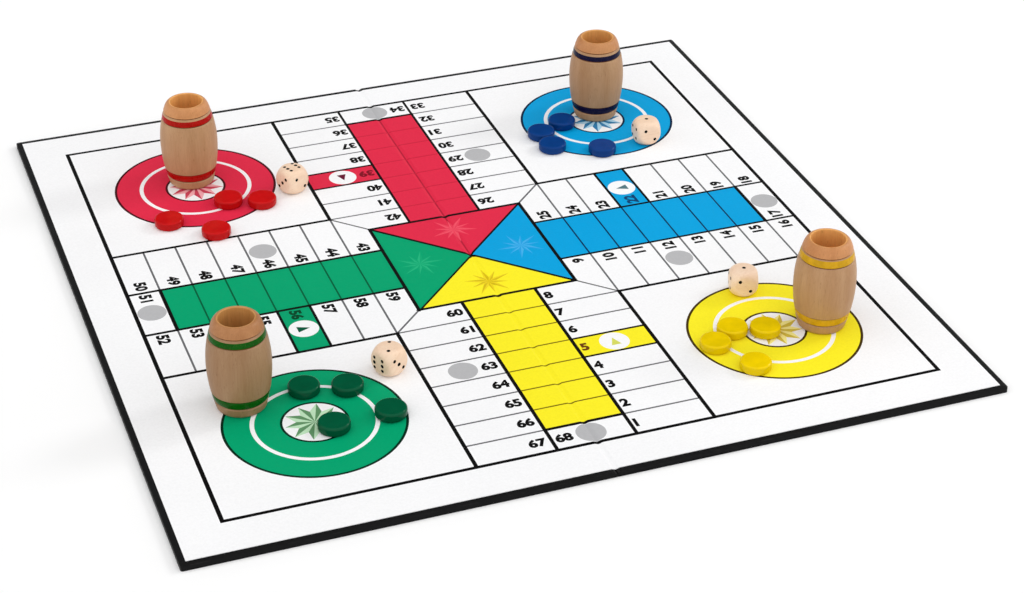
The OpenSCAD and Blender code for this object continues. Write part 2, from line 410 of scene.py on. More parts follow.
def plainInk(name):
    return bpy.data.materials.get(name) or bpy.data.materials.new(name)


def makeLineTree():
    # separators between cells: one thin bar for each row, side by side down an arm
    tree, given, out = newTree("cellLines", {"Count": 7, "Row": 16.7, "First": 0.0, "Middle": 0.0, "Length": 39.0,
                                             "Line Width": 0.5, "Ink": None})
    start = put(tree, "ShaderNodeCombineXYZ", {
        "X": given["Middle"], "Y": calc(tree, "MULTIPLY", given["First"], -1.0)})
    step = put(tree, "ShaderNodeCombineXYZ", {"Y": calc(tree, "MULTIPLY", given["Row"], -1.0)})
    line = put(tree, "GeometryNodeMeshLine", {
        "Count": given["Count"], "Start Location": start, "Offset": step}, mode="OFFSET")
    grid = put(tree, "GeometryNodeMeshGrid", {
        "Size X": given["Length"], "Size Y": given["Line Width"], "Vertices X": 2, "Vertices Y": 2})
    bars = put(tree, "GeometryNodeInstanceOnPoints", {"Points": line, "Instance": grid})
    bars = put(tree, "GeometryNodeRealizeInstances", {0: bars})
    feed(tree, out, {"Geometry": coated(tree, bars, given["Ink"])})
    return tree


def makeStarTree():
    # compass star: a two-toned point repeated round, the short points first and the long ones over them
    tree, given, out = newTree("compassStar", {"Points": 8, "Short": 0.72, "Light": None, "Deep": None})
    half = calc(tree, "DIVIDE", given["Points"], 2.0)
    index = put(tree, "GeometryNodeInputIndex")
    isLong = calc(tree, "GREATER_THAN", index, calc(tree, "SUBTRACT", half, 0.5))
    isShort = calc(tree, "SUBTRACT", 1.0, isLong)
    step = calc(tree, "DIVIDE", 2 * math.pi, half)
    angle = calc(tree, "MULTIPLY", step, calc(tree, "ADD", index, calc(tree, "MULTIPLY", isShort, 0.5)))
    more = calc(tree, "MULTIPLY", isLong, calc(tree, "SUBTRACT", 1.0, given["Short"]))
    size = calc(tree, "ADD", given["Short"], more)
    line = put(tree, "GeometryNodeMeshLine", {"Count": given["Points"], "Offset": (0, 0, 0)}, mode="OFFSET")
    star = put(tree, "GeometryNodeInstanceOnPoints", {
        "Points": line, "Instance": given["Geometry"], "Rotation": put(tree, "ShaderNodeCombineXYZ", {"Z": angle}),
        "Scale": put(tree, "ShaderNodeCombineXYZ", {"X": size, "Y": size, "Z": 1.0})})
    star = coated(tree, put(tree, "GeometryNodeRealizeInstances", {0: star}), given["Light"])
    odd = calc(tree, "GREATER_THAN", calc(tree, "MODULO", index, 2.0), 0.5)    # every second face
    feed(tree, out, {"Geometry": coated(tree, star, given["Deep"], odd)})
    return tree


def shapesOf(mesh):
    # flat faces of a mesh as outlines with the ink they carry, anticlockwise
    found = []
    for face in mesh.polygons:
        points = [tuple(mesh.vertices[v].co.xy) for v in face.vertices]
        area = sum(a[0] * b[1] - b[0] * a[1] for a, b in zip(points, points[1:] + points[:1]))
        if abs(area) > 1e-7:
            found.append((points if area > 0 else points[::-1], mesh.materials[face.material_index].name))
    return found


def starShapes(tree, star, light, deep):
    radius, waist = star["radius"], star["waist"] * star["radius"]
    side = math.pi / star["points"]
    x, y = waist * math.sin(side), waist * math.cos(side)
    point = newMesh("starPoint", [(0, 0, 0), (0, radius, 0), (-x, y, 0), (x, y, 0)], [(0, 1, 2), (0, 3, 1)])
    return shapesOf(runTree(tree, point, {"Points": star["points"], "Short": star["short"], "Light": plainInk(light),
                                          "Deep": plainInk(deep)}, "star"))


def digitMesh(text):
    curve = bpy.data.curves.new("digits", "FONT")
    curve.body, curve.offset, curve.resolution_u = text, board["digitBold"], 3
    mesh = bakedMesh(newObject("digits", curve), "digits")
    xs, ys = ([v.co[axis] for v in mesh.vertices] for axis in (0, 1))
    return mesh, min(xs), min(ys), max(xs) - min(xs), max(ys) - min(ys)


def digitShapes(text, wide):
    # one number as flat triangles, its left foot at the origin, and how wide it is
    mesh, left, foot, across, upright = digitMesh(text)
    tall = board["digitHeight"] / upright
    return [[((mesh.vertices[v].co.x - left) * wide, (mesh.vertices[v].co.y - foot) * tall)
             for v in face.vertices] for face in mesh.polygons], across * wide


def printedShapes():
    # everything that is printed, in the order in which it is laid down
    w = board
    lineTree, starTree = makeLineTree(), makeStarTree()
    bare = newMesh("nothing")
    digitWide = w["digitPair"] / digitMesh("68")[3]
    rows, gap = w["armRows"], w["digitGap"]
    outer = centreHalf + rows * row
    sideMiddle = (laneHalf + armHalf) / 2
    startTop = -centreHalf - w["startRow"] * row
    dotY = startTop - row / 2
    arrow, wing = w["arrow"], w["arrowWide"] * w["arrow"]

    def separators(count, middle, length, width, ink):
        return shapesOf(runTree(lineTree, bare, {
            "Count": count, "Row": row, "First": centreHalf + row, "Middle": middle, "Length": length,
            "Line Width": width, "Ink": plainInk(ink)}, "separators"))

    def number(place, quarter, x, y, ink="black", toLeft=False):
        # a cell's number, which starts or ends at x: they run on from one arm to the next
        digits, wide = digitShapes(str((place + w["armCells"] * quarter) % w["cells"] + 1), digitWide)
        return [(moved(p, x - wide if toLeft else x, y - w["digitHeight"] / 2), ink) for p in digits]

    shapes = [(rectangle(-sheetHalf, -sheetHalf, sheetHalf, sheetHalf), "paper")]
    for quarter, name in enumerate(players):
        # coloured lane, centre triangle and start cell
        arm = [(rectangle(-laneHalf, -outer + row, laneHalf, -centreHalf), name),
               ([(-centreHalf, -centreHalf), (centreHalf, -centreHalf), (0, 0)], name),
               (rectangle(laneHalf, startTop - row, armHalf, startTop), name)]
        # thin separators of the white cells, and those of the lane in its own tint
        for side in (-1, 1):
            arm += separators(rows - 1, side * sideMiddle, armHalf - laneHalf, w["thinLine"], "thin")
        arm += separators(rows - 2, 0.0, 2 * laneHalf, w["tintLine"], name + "Line")
        arm.append((bar(armHalf, -armHalf, centreHalf, -centreHalf, w["thinLine"]), "thin"))
        # safe cells have a grey dot, the start cell a white one with an arrow
        arm += [(disc(-sideMiddle, dotY, w["dotRadius"]), "dot"), (disc(0, -outer + row / 2, w["dotRadius"]), "dot"),
                (disc(sideMiddle, dotY, w["startRadius"]), "paper"),
                ([(sideMiddle - wing, dotY - arrow), (sideMiddle + wing, dotY - arrow), (sideMiddle, dotY + arrow)],
                 name + "Arrow")]
        # star on the centre triangle, tone on tone
        star = starShapes(starTree, stars["centre"], name + "Light", name + "Deep")
        arm += [(moved(p, 0, -centreHalf * starPlace), ink) for p, ink in star]
        # black lines
        black = [(laneHalf, y, armHalf, y, w["startLine"]) for y in (startTop, startTop - row)]
        black += [(x, -outer, x, -centreHalf, w["laneLine"][name]) for x in (-laneHalf, laneHalf)]
        black += [(-laneHalf, -outer + row, laneHalf, -outer + row, w["squareLine"]),
                  (-centreHalf, -centreHalf, centreHalf, -centreHalf, w["squareLine"]),
                  (-centreHalf, -centreHalf, 0, 0, w["diagonalLine"][name])]
        black += [(x, -gridHalf, x, -armHalf, w["homeLine"]) for x in (-armHalf, armHalf)]
        black += [(-gridHalf, -gridHalf, gridHalf, -gridHalf, w["frameLine"])]
        arm += [(bar(*line), "black") for line in black]
        # numbers beside the lane, and one on its outer end
        for i in range(rows):
            y = -centreHalf - (i + 0.5) * row
            arm += number(rows - 1 - i, quarter, laneHalf + gap, y, name + "Start" if i == w["startRow"] else "black")
            arm += number(w["cells"] - rows - 1 + i, quarter, -laneHalf - gap - w["digitEnd"], y, toLeft=True)
        arm += number(w["cells"] - 1, quarter, -laneHalf + gap, -outer + row / 2)
        # the player's home: disc, white ring and a star in the middle
        home = [(disc(0, 0, radius, steps), ink) for radius, steps, ink in (
            (w["homeRadius"], 144, name + "Edge"), (w["homeRadius"] - w["homeEdge"], 144, name),
            (w["ringOuter"], 120, "paper"), (w["ringInner"], 120, name), (w["middleRadius"], 96, name + "Edge"),
            (w["middleRadius"] - w["middleEdge"], 96, "paper"))]
        home += starShapes(starTree, stars["home"], name + "Half", name + "Point")
        arm += [(moved(p, homeMiddle, -homeMiddle), ink) for p, ink in home]
        shapes += [(turned(p, quarter), ink) for p, ink in arm]
    return shapes


def layArtwork(shapes):
    # one flat mesh cut along every printed edge
    points, edges = [], []
    for outline, _ in shapes:
        first, count = len(points), len(outline)
        edges += [(first + i, first + (i + 1) % count) for i in range(count)]
        points += outline
    steps = board["creaseSteps"]
    for i in range(-steps, steps + 1):
        x = board["creaseHalf"] * i / steps
        edges.append((len(points), len(points) + 1))
        points += [(x, -sheetHalf), (x, sheetHalf)]
    verts, _, tris, _, _, _ = delaunay_2d_cdt([Vector(p) for p in points], edges, [], 0, 1e-4)
    # each triangle takes the ink that was laid down last over its middle
    flat = np.array([tuple(v) for v in verts])
    middles = flat[np.array([list(t) for t in tris])].mean(1)
    laid = np.zeros(len(tris), int)
    for index, (outline, _) in enumerate(shapes):
        ring = np.array(outline)
        near = np.nonzero(((middles >= ring.min(0)) & (middles <= ring.max(0))).all(1))[0]
        x, y = middles[near].T
        inside = np.zeros(len(near), bool)
        for (x0, y0), (x1, y1) in zip(ring, np.roll(ring, -1, 0)):
            if y0 != y1:
                inside ^= ((y0 > y) != (y1 > y)) & (x < (x1 - x0) * (y - y0) / (y1 - y0) + x0)
        laid[near[inside]] = index
    return verts, tris, [shapes[i][1] for i in laid]


def inkMaterial(name, colour):
    # litho print under silk varnish: mottled ink, faint paper tooth
    material, tree, shader = newMaterial("print_" + name, colour, 0.5, 0.05)
    here = placeOn(tree)
    broad = noise(tree, here, press["mottle"], 2.0)
    fine = noise(tree, here, press["specks"], 2.0, 0.6)
    tone = calc(tree, "ADD", spread(tree, broad, -0.35, 0.35), spread(tree, fine, -0.65, 0.65))
    low, high = shade(colour, press["darkest"]), shade(colour, press["palest"])
    face = ramp(tree, spread(tree, tone, 0, 1, -0.8, 0.8), [(0.0, low), (1.0, high)])
    if name in wearAndCreaseShade:
        # painted shade: a dark line along the bottom of the crease, where the valley lies in shade
        mark = spread(tree, calc(tree, "ABSOLUTE", axes(tree, here)["X"]), 1, 0, 0.0002, board["creaseMark"] * mm)
        mark = calc(tree, "MULTIPLY", mark, spread(tree, fine, 0.7, 1.0))
        face = blendColours(tree, mark, face, shade(colour, wearAndCreaseShade[name]))
    feed(tree, shader, {"Base Color": face, "Roughness": spread(tree, broad, 0.46, 0.56)})
    bump(tree, shader, noise(tree, here, press["tooth"], 3.0, 0.6), 0.00002, 0.35)
    return material


def slabFrom(name, tris, verts, tones, materials):
    # closed sheet: the printed face, the same face one thickness below it, and the cut edge all round
    shape = bmesh.new()
    used = sorted({v for t in tris for v in t})

    def laid(drop):
        return {v: shape.verts.new((verts[v][0] * mm, verts[v][1] * mm, (valley(verts[v][0]) - drop) * mm)) for v in used}

    top, low = laid(0.0), laid(board["sheetThick"])
    slots = sorted(set(tones) | {"paper"})
    paper = slots.index("paper")
    sides = {}     # edges that only one face has met so far
    for tri, tone in zip(tris, tones):
        shape.faces.new([top[v] for v in tri]).material_index = slots.index(tone)
        shape.faces.new([low[v] for v in reversed(tri)]).material_index = paper
        for a, b in zip(tri, tri[1:] + tri[:1]):
            if not sides.pop((b, a), False):
                sides[a, b] = True
    for a, b in sides:
        shape.faces.new([top[b], top[a], low[a], low[b]]).material_index = paper
    mesh = meshOf(shape, name)
    for slot in slots:
        mesh.materials.append(materials[slot])
    softEdges(mesh, 40)
    return mesh


def makeSheets():
    shapes = printedShapes()
    verts, tris, tones = layArtwork(shapes)
    print("sheet:", len(shapes), "printed shapes,", len(tris), "faces")
    materials = {name: inkMaterial(name, colour) for name, colour in inks.items()}
    edge = board["creaseHalf"] - 1e-3
    parts = {"left": ([], []), "right": ([], []), "crease": ([], [])}
    for tri, tone in zip(tris, tones):
        x = sum(verts[v][0] for v in tri) / 3
        faces, laid = parts["left" if x < -edge else "right" if x > edge else "crease"]
        faces.append(tuple(tri))
        laid.append(tone)
    meshes = {part: slabFrom("sheet_" + part, faces, verts, laid, materials) for part, (faces, laid) in parts.items()}
    for side in ("left", "right"):
        newPiece("sheet_" + side, meshes[side], side + "_leaf", [side + "_print"])
    crease = newPiece("sheet_crease", meshes["crease"], None)
    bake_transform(crease)


makeSheets()
print("stage: printed sheet")


# black cover and cardboard

cover = {
    "bevel": 0.3, "bevelZone": 1.3, "border": 3.2,           # mm; the zone is the outer strip whose edges are rolled
    "sharp": 0.9,                                            # angle from which an edge is one, in radians
    "grain": 1500.0, "pores": 4200.0, "black": rgb(14, 14, 15), "wearAndCreaseShade": rgb(60, 58, 58),
    "wornRim": (0.1992, 0.2001), "wornHeight": (0.0021, 0.0027), "wornCorner": (0.185, 0.2),   # m, where wear sets in
}
greyboard = {"middle": rgb(150, 143, 132), "dark": rgb(118, 112, 104), "pale": rgb(166, 159, 148), "flecks": 700.0}


def makeLeatherette():
    material, tree, shader = newMaterial("blackLeatherette", cover["black"], 0.45, 0.1)
    here = placeOn(tree)
    cells = add(tree, "ShaderNodeTexVoronoi", {"Vector": here, "Scale": cover["grain"], "Randomness": 1.0},
                feature="DISTANCE_TO_EDGE")
    grain = ramp(tree, cells.outputs["Distance"], [(0.0, 0.0), (0.25, 1.0)])
    pores = noise(tree, here, cover["pores"], 2.0)
    # edges and corners rub pale: the mask grows towards the outline of the board and its upper rim
    place = axes(tree, here)
    across, along = calc(tree, "ABSOLUTE", place["X"]), calc(tree, "ABSOLUTE", place["Y"])
    rim = spread(tree, calc(tree, "MAXIMUM", across, along), 0, 1, *cover["wornRim"])
    upper = spread(tree, place["Z"], 0, 1, *cover["wornHeight"])
    patches = spread(tree, noise(tree, here, 90.0, 4.0, 0.7), 0, 1, 0.5, 0.66)
    corner = spread(tree, calc(tree, "MINIMUM", across, along), 0.25, 1, *cover["wornCorner"])
    rubbed = calc(tree, "MULTIPLY", calc(tree, "MULTIPLY", rim, upper), calc(tree, "MULTIPLY", patches, corner))
    tone = ramp(tree, noise(tree, here, 60.0, 3.0), [
        (0.3, shade(cover["black"], 0.8)), (0.7, shade(cover["black"], 1.3))])
    feed(tree, shader, {"Base Color": blendColours(tree, rubbed, tone, cover["wearAndCreaseShade"]),
                        "Roughness": spread(tree, pores, 0.38, 0.55)})
    first = bump(tree, shader, grain, 0.00005, 0.6)
    bump(tree, shader, pores, 0.00002, 0.4, first)
    return material


def makeGreyboard():
    material, tree, shader = newMaterial("greyboard", greyboard["middle"], 0.85)
    here = placeOn(tree, stretch=(1, 1, 6))
    flecks = noise(tree, here, greyboard["flecks"], 5.0, 0.7)
    tone = ramp(tree, flecks, [(0.35, greyboard["dark"]), (0.65, greyboard["pale"])])
    # the ends of the fold are blackened like the cover, where its lip is cut back to the valley
    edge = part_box("left_cover")[1].y - cover["border"] * mm
    rim = spread(tree, calc(tree, "ABSOLUTE", axes(tree, here)["Y"]), 0, 1, edge - 0.0002, edge)
    feed(tree, shader, {"Base Color": blendColours(tree, rim, tone, cover["black"])})
    bump(tree, shader, flecks, 0.00008, 0.6)
    return material


def makeCovers():
    leatherette, inside = makeLeatherette(), makeGreyboard()
    reach = max(abs(c) for corner in (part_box("left_cover"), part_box("right_cover")) for v in corner for c in v)
    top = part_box("left_cover")[1].z
    for side in ("left", "right"):
        shape = mergedCopy(side + "_cover")
        weight = shape.edges.layers.float.new("bevel_weight_edge")
        for edge in shape.edges:
            if len(edge.link_faces) != 2 or edge.calc_face_angle(0) < cover["sharp"]:
                continue
            # only the edges along the outer walls are rolled, above and below
            a, b = (v.co for v in edge.verts)
            outside = all(max(abs(p.x), abs(p.y)) > reach - cover["bevelZone"] * mm for p in (a, b))
            flat = all(p.z < 1e-5 or p.z > top - 1e-5 for p in (a, b)) and abs(a.z - b.z) < 1e-5
            if outside and flat:
                edge[weight] = 1.0
        mesh = meshOf(shape, "cover_" + side)
        mesh.materials.append(leatherette)
        holder = newObject("cover", mesh)
        bevel = holder.modifiers.new("rolled edge", "BEVEL")
        bevel.limit_method, bevel.width, bevel.segments = "WEIGHT", cover["bevel"] * mm, 3
        mesh = bakedMesh(holder, "cover_" + side)
        softEdges(mesh, 35)
        newPiece("cover_" + side, mesh, side + "_leaf", [side + "_cover"])
        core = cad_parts[side + "_core"]
        core.data.materials.clear()
        core.data.materials.append(inside)


makeCovers()
print("stage: covers and boards")


# turned wood

shaker = {
    "bellyDiameter": 30.6, "bellyHeight": 25.0, "neckDiameter": 21.4, "baseDiameter": 23.0, "baseRound": 2.0,
    "boreDiameter": 16.8, "floor": 8.0, "boreRound": 2.5, "lipShare": 0.7, "lipInner": 0.5,
    "lowBand": 5.4, "highDrop": 5.4, "bandWidth": 4.4, "lineWidth": 1.1, "lineDepth": 0.5, "bead": 0.15,
    "lowPaint": 4.4, "highPaint": {"green": 3.3, "yellow": 3.85, "blue": 3.2, "red": 3.3},   # up from the lower line
    "lipReflection": (1.22, 0.94, 0.7, 1), "bore": (1.75, 1.5, 0.9, 1),  # tints over the wood: a painted warm reflection on the lip, and painted light that brightens the inside of the bore
    "segments": 96,
}
# the last of these tones is painted shade: it colours the upper wall of each turned line, which faces down
beech = {"pale": rgb(195, 156, 117), "warm": rgb(174, 131, 91), "dark": rgb(120, 80, 46), "burnt": rgb(96, 56, 26)}
beechTone = {"green": 0.76, "yellow": 1.04, "blue": 0.95, "red": 1.06}     # how light the wood of each shaker is
bandPaint = {"green": rgb(8, 82, 4), "yellow": rgb(204, 156, 26), "blue": rgb(10, 8, 46), "red": rgb(166, 10, 2)}
# the last value darkens the sides of the counters: painted shade
counterPiece = {"edge": 1.3, "crown": 0.12, "segments": 64, "sideShade": 0.82}
lacquer = {"green": rgb(0, 84, 54), "yellow": rgb(238, 204, 0), "blue": rgb(6, 58, 126), "red": rgb(196, 16, 18)}
wood = {"fibres": 130.0, "fine": 1500.0, "slow": 28.0, "flecks": 2100.0, "fleckShare": 0.34}     # grain of beech


def makeWood(name, centre, turn, pale, warm, dark, gloss=0.42, lipAndBoreLight=None):
    # beech: long fibres along the piece, short brown flecks, slow change of tone
    material, tree, shader = newMaterial(name, warm, gloss, 0.3)
    here = placeOn(tree, centre, turn)
    fibres = put(tree, "ShaderNodeMapping", {"Vector": here, "Scale": (1, 1, 0.06)})
    flecked = put(tree, "ShaderNodeMapping", {"Vector": here, "Scale": (1, 1, 0.16)})
    broad = noise(tree, fibres, wood["fibres"], 3.0, 0.55)
    fine = noise(tree, fibres, wood["fine"], 3.0, 0.6)
    slow = noise(tree, here, wood["slow"], 2.0)
    base = ramp(tree, broad, [(0.3, warm), (0.7, pale)])
    base = blendColours(tree, spread(tree, slow, 0.0, 0.45), base, shade(warm, 0.9))
    flecks = ramp(tree, noise(tree, flecked, wood["flecks"], 1.0), [(0.66, 0.0), (0.74, 1.0)])
    base = blendColours(tree, calc(tree, "MULTIPLY", flecks, wood["fleckShare"]), base, dark)
    base = blendColours(tree, spread(tree, fine, 0.0, 0.2), base, dark)
    bare = base
    if lipAndBoreLight:
        # the lip is tinted orange above this height as a painted reflection, and the bore is brightened inside this
        # radius as painted light in the hollow
        height, radius = lipAndBoreLight
        high = spread(tree, axes(tree, here)["Z"], 0, 1, height - 0.0004, height + 0.0004)
        inside = spread(tree, radiusOf(tree, here), 1, 0, radius, radius + 0.0004)
        for place, tint in ((high, shaker["lipReflection"]), (inside, shaker["bore"])):
            base = blendColours(tree, place, base, blendColours(tree, 1.0, bare, tint, "MULTIPLY"))
    feed(tree, shader, {"Base Color": base, "Roughness": spread(tree, fine, gloss - 0.05, gloss + 0.1)})
    bump(tree, shader, fine, 0.00003, 0.5)
    return material


def makePaint(name, colour, under, roughness=0.26):
    # thin brushed paint over turned wood
    material, tree, shader = newMaterial(name, colour, roughness, 0.1)
    here = placeOn(tree)
    thin = noise(tree, here, 260.0, 3.0, 0.6)
    streak = noise(tree, here, 1400.0, 2.0)
    base = ramp(tree, thin, [(0.3, shade(colour, 0.85)), (0.7, shade(colour, 1.12))])
    bare = spread(tree, streak, 0.0, 0.07, 0.58, 0.75)
    feed(tree, shader, {"Base Color": blendColours(tree, bare, base, under),
                        "Roughness": spread(tree, thin, roughness - 0.05, roughness + 0.08)})
    bump(tree, shader, streak, 0.00003, 0.3)
    return material


def makeLacquer(name, colour, topHeight):
    # dyed wood under clear lacquer; the side below the top is painted darker as painted shade, with the light from
    # above
    material, tree, shader = newMaterial(name, colour, 0.16, 0.1)
    here = placeOn(tree)
    base = ramp(tree, noise(tree, here, 160.0, 3.0), [(0.3, shade(colour, 0.93)), (0.7, shade(colour, 1.09))])
    side = spread(tree, axes(tree, here)["Z"], 1, 0, topHeight - 0.0009, topHeight - 0.0002)
    feed(tree, shader, {"Base Color": blendColours(tree, side, base, shade(colour, counterPiece["sideShade"])),
                        "Roughness": spread(tree, noise(tree, here, 420.0, 2.0), 0.12, 0.2)})
    bump(tree, shader, noise(tree, here, 380.0, 2.0), 0.00008, 0.25)
    return material


def makeLatheTree():
    # turns a profile round Z: each row of a grid takes the height and radius of one profile point
    tree, given, out = newTree("turnedPiece", {
        "Rows": 10, "Segments": 64, "Wood": None, "Paint": None, "Burnt": None, "Low Band": -1.0, "Low Paint": 0.0,
        "High Band": -1.0, "High Paint": 0.0, "Band Width": 0.0, "Line Width": 0.0, "Inner Radius": 0.0})
    rows, segments = given["Rows"], given["Segments"]
    index, position = put(tree, "GeometryNodeInputIndex"), put(tree, "GeometryNodeInputPosition")
    column = calc(tree, "FLOOR", calc(tree, "DIVIDE", calc(tree, "ADD", index, 0.5), rows))
    line = calc(tree, "SUBTRACT", index, calc(tree, "MULTIPLY", column, rows))
    angle = calc(tree, "MULTIPLY", calc(tree, "DIVIDE", column, segments), 2 * math.pi)
    point = axes(tree, put(tree, "GeometryNodeSampleIndex", {
        "Geometry": given["Geometry"], "Value": position, "Index": line}, data_type="FLOAT_VECTOR", domain="POINT"))
    place = put(tree, "ShaderNodeCombineXYZ", {
        "X": calc(tree, "MULTIPLY", point["X"], calc(tree, "COSINE", angle)),
        "Y": calc(tree, "MULTIPLY", point["X"], calc(tree, "SINE", angle)), "Z": point["Z"]})
    piece = put(tree, "GeometryNodeMeshGrid", {
        "Size X": 1.0, "Size Y": 1.0, "Vertices X": calc(tree, "ADD", segments, 1.0), "Vertices Y": rows})
    piece = put(tree, "GeometryNodeSetPosition", {"Geometry": piece, "Position": place})
    piece = put(tree, "GeometryNodeMergeByDistance", {"Geometry": piece, "Distance": 1e-6})
    piece = put(tree, "GeometryNodeSetShadeSmooth", {"Geometry": piece})
    piece = coated(tree, put(tree, "GeometryNodeRealizeInstances", {0: piece}), given["Wood"])
    # paint lies on each band from its lower line up, and the upper wall of each line, which faces down, takes painted
    # shade
    height = axes(tree, position)["Z"]
    outside = calc(tree, "GREATER_THAN", radiusOf(tree, position), given["Inner Radius"])
    halfLine = calc(tree, "DIVIDE", given["Line Width"], 2.0)

    def between(low, extent):
        over = calc(tree, "GREATER_THAN", height, low)
        under = calc(tree, "LESS_THAN", height, calc(tree, "ADD", low, extent))
        return calc(tree, "MULTIPLY", outside, calc(tree, "MULTIPLY", over, under))

    bands = [given["Low Band"], given["High Band"]]
    painted = [between(calc(tree, "ADD", low, halfLine), calc(tree, "SUBTRACT", given[paint], halfLine))
               for low, paint in zip(bands, ("Low Paint", "High Paint"))]
    burnt = [between(low, halfLine) for band in bands for low in (band, calc(tree, "ADD", band, given["Band Width"]))]
    for label, places in (("Paint", painted), ("Burnt", burnt)):
        chosen = places[0]
        for other in places[1:]:
            chosen = calc(tree, "ADD", chosen, other)
        piece = coated(tree, piece, given[label], calc(tree, "GREATER_THAN", chosen, 0.5))
    feed(tree, out, {"Geometry": piece})
    return tree


def arc(x, z, r, start, end, steps):
    return [(x + r * math.cos(math.radians(start + (end - start) * i / steps)),
             z + r * math.sin(math.radians(start + (end - start) * i / steps))) for i in range(steps + 1)]


def shakerProfile(height):
    s = shaker
    belly, top = s["bellyHeight"], height - s["bellyHeight"]

    def radius(z):
        end = s["baseDiameter"] if z < belly else s["neckDiameter"]
        share = (belly - z) / belly if z < belly else (z - belly) / top
        return (s["bellyDiameter"] - (s["bellyDiameter"] - end) * share ** 2) / 2

    def run(low, high, steps):
        return [(radius(low + (high - low) * i / steps), low + (high - low) * i / steps) for i in range(steps + 1)]

    half = s["lineWidth"] / 2
    lowTop = s["lowBand"] + s["bandWidth"]
    highTop = height - s["highDrop"]
    highLow = highTop - s["bandWidth"]
    bore = s["boreDiameter"] / 2
    inner = s["lipInner"]
    # the lip: one curve from the barrel's own slope over to the bore
    lipLow = height - s["lipShare"] * (s["highDrop"] - half)
    slope = (s["bellyDiameter"] - s["neckDiameter"]) * (lipLow - belly) / top ** 2
    lipCurve = [(radius(lipLow), lipLow), (radius(lipLow) - slope * (height - lipLow), height), (bore + inner, height)]

    def lipAt(t):
        return tuple((1 - t) ** 2 * a + 2 * t * (1 - t) * b + t ** 2 * c for a, b, c in zip(*lipCurve))

    def bead(low):
        middle, reach = low + s["bandWidth"] / 2, s["bandWidth"] / 2 - half
        return [(radius(z) - s["bead"] * ((z - middle) / reach) ** 2, z)
                for z in (middle + reach * i / 10 for i in range(-10, 11))]

    def line(z):
        return [(radius(z + half * t) - s["lineDepth"] * deep, z + half * t)
                for t, deep in ((-0.45, 0.75), (0, 1), (0.45, 0.75))]

    base = s["baseRound"]
    points = [(0, 0), (4, 0), (7, 0)] + arc(radius(base) - base, base, base, -90, 0, 8)
    points += [(radius(s["lowBand"] - half), s["lowBand"] - half)] + line(s["lowBand"])
    points += bead(s["lowBand"]) + line(lowTop)
    points += run(lowTop + half, highLow - half, 36) + line(highLow)
    points += bead(highLow) + line(highTop)
    points += [(radius(highTop + half), highTop + half)] + [lipAt(i / 18) for i in range(19)]
    points += arc(bore + inner, height - inner, inner, 110, 180, 5)
    points += [(bore, height - inner - (height - inner - s["floor"] - s["boreRound"]) * i / 12) for i in range(1, 12)]
    points += arc(bore - s["boreRound"], s["floor"] + s["boreRound"], s["boreRound"], 0, -90, 8)
    points += [(bore / 2.4, s["floor"]), (0, s["floor"])]
    return points, highLow


def counterProfile(radius, height):
    edge = counterPiece["edge"]
    points = [(0, 0), (radius * 0.4, 0)] + arc(radius - edge, edge, edge, -90, 0, 8)
    points += arc(radius - edge, height - edge, edge, 0, 82, 8)
    crown = counterPiece["crown"]
    return points[:-1] + [(radius - edge, height - crown * 0.7), (radius * 0.6, height - crown * 0.25),
                          (radius * 0.3, height - crown * 0.05), (0, height)]


def turnPiece(tree, name, profile, values, centre, foot):
    mesh = newMesh(name + "_profile", [(x * mm, 0, z * mm) for x, z in profile])
    mesh = runTree(tree, mesh, dict(values, Rows=len(profile)), name)
    mesh.transform(Matrix.Translation((centre.x, centre.y, foot)))
    shape = bmesh.new()
    shape.from_mesh(mesh)
    bmesh.ops.recalc_face_normals(shape, faces=shape.faces)
    if shape.calc_volume(signed=True) < 0:
        bmesh.ops.reverse_faces(shape, faces=shape.faces)
    shape.to_mesh(mesh)
    shape.free()
    return mesh


def makeShakers(tree):
    # painted shade on the upper wall of each turned line
    burnt = makePaint("burntLine", beech["burnt"], beech["dark"], 0.5)
    inner = shaker["boreDiameter"] / 2 + shaker["lipInner"]
    for k, name in enumerate(players):
        low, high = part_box(name + "_cup")
        centre = (low + high) / 2
        tall = (high.z - low.z) / mm
        tones = [shade(beech[tone], beechTone[name]) for tone in ("pale", "warm", "dark")]
        # height and radius from which the lip's painted reflection and the bore's painted light begin
        lipAndBoreLight = ((tall / 2 - shaker["highDrop"]) * mm, inner * mm)
        bare = makeWood("beech_" + name, centre, (0, 0, 1.3 * k), *tones, lipAndBoreLight=lipAndBoreLight)
        paint = makePaint("band_" + name, bandPaint[name], beech["warm"])
        profile, highBand = shakerProfile(tall)
        mesh = turnPiece(tree, "shaker_" + name, profile, {
            "Segments": shaker["segments"], "Wood": bare, "Paint": paint, "Burnt": burnt,
            "Low Band": shaker["lowBand"] * mm, "High Band": highBand * mm, "Band Width": shaker["bandWidth"] * mm,
            "Line Width": shaker["lineWidth"] * mm, "Low Paint": shaker["lowPaint"] * mm,
            "High Paint": shaker["highPaint"][name] * mm, "Inner Radius": inner * mm}, centre, low.z)
        softEdges(mesh, 38)
        newPiece("shaker_" + name, mesh, name + "_cup", [name + "_cup"])


def makeCounters(tree):
    for name in players:
        coat = makeLacquer("lacquer_" + name, lacquer[name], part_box(f"{name}_counter_1")[1].z)
        for i in range(1, 5):
            node, label = f"{name}_counter_{i}", f"counter_{name}_{i}"
            low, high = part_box(node)
            profile = counterProfile((high.x - low.x) / 2 / mm, (high.z - low.z) / mm)
            mesh = turnPiece(tree, label, profile, {
                "Segments": counterPiece["segments"], "Wood": coat, "Low Band": -1.0, "High Band": -1.0},
                (low + high) / 2, low.z)
            softEdges(mesh, 40)
            newPiece(label, mesh, node, [node])


latheTree = makeLatheTree()
makeShakers(latheTree)
makeCounters(latheTree)
print("stage: shakers and counters")


# dice

